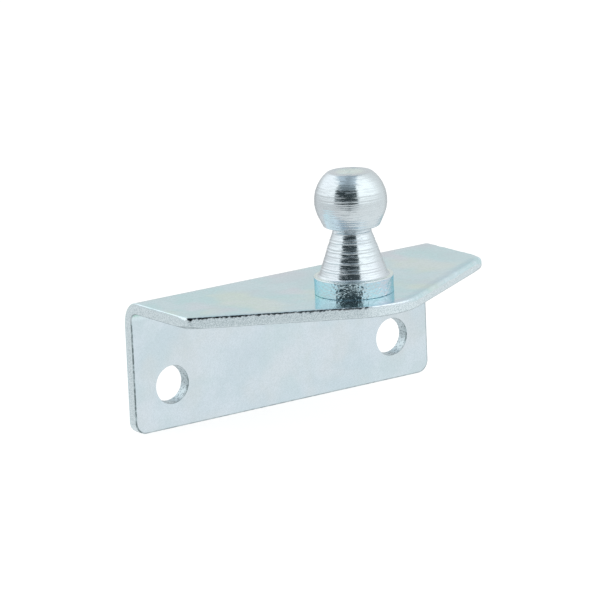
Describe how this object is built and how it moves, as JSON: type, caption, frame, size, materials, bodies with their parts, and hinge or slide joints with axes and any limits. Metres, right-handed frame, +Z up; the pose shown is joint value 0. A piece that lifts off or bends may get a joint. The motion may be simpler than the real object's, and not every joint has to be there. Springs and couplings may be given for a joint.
{
  "type": "ball stud bracket",
  "caption": "Right-angle sheet-steel bracket with a riveted ball stud, screwed to a panel to anchor the ball socket of a gas spring or linkage.",
  "frame": {"origin": "midway between the centres of the two screw holes, on the leg's mounting face", "axes": "+X along the bracket, parallel to the fold; +Y out of the mounting face, into the panel it is screwed to, so the flange reaches out towards -Y; +Z up along the ball stud, from the leg's lower edge towards the ball"},
  "size_m": [0.0508, 0.0286, 0.0359],
  "materials": {
    "plated_sheet": "satin",
    "plated_turned": "gloss"
  },
  "bodies": {
    "root": {"angle_bracket": "plated_sheet", "ball_stud": "plated_turned"}
  },
  "joints": []
}
